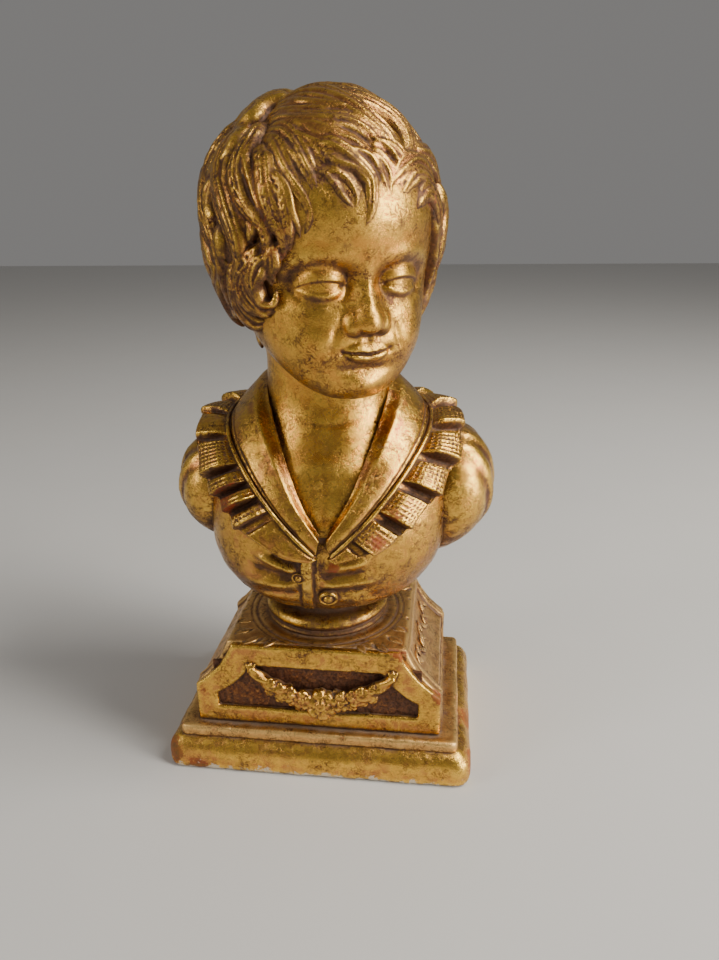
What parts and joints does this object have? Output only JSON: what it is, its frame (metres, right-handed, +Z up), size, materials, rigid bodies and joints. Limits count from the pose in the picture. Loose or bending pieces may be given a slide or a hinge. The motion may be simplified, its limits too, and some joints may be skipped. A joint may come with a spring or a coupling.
{
  "type": "bust on plinth",
  "caption": "Gilded cast bust of a young child in a ruffled shawl collar, on a stepped plinth with a garland panel.",
  "frame": {"origin": "middle of the resting face, on the surface that the base stands on", "axes": "+Z up; the plinth's panel and the chest face -Y; +X is to the right of someone looking at the front"},
  "size_m": [0.1524, 0.1167, 0.3068],
  "materials": {
    "gilded_plaster": "satin",
    "gilded_skin": "satin",
    "gilded_hair": "satin",
    "dull_gilding": "matte",
    "fixing_steel": "brushed",
    "felt": "matte"
  },
  "bodies": {
    "root": {"felt_pad": "felt", "base_slab": "gilded_plaster", "base_step": "dull_gilding", "plinth_body": "dull_gilding", "panel_frame": "gilded_plaster", "garland": "gilded_plaster", "flank_ornament_left": "dull_gilding", "flank_ornament_right": "dull_gilding", "top_leaves": "dull_gilding", "socle": "gilded_plaster", "washer": "fixing_steel", "nut": "fixing_steel", "fixing_rod": "fixing_steel", "anchor_insert": "fixing_steel", "torso": "gilded_plaster", "sleeve_left": "gilded_plaster", "sleeve_right": "gilded_plaster", "placket": "gilded_plaster", "button_upper": "gilded_plaster", "button_lower": "gilded_plaster", "collar": "gilded_plaster", "collar_piping": "gilded_plaster", "ruffle_left": "gilded_plaster", "ruffle_right": "gilded_plaster", "head": "gilded_skin", "hair": "gilded_hair"}
  },
  "joints": []
}
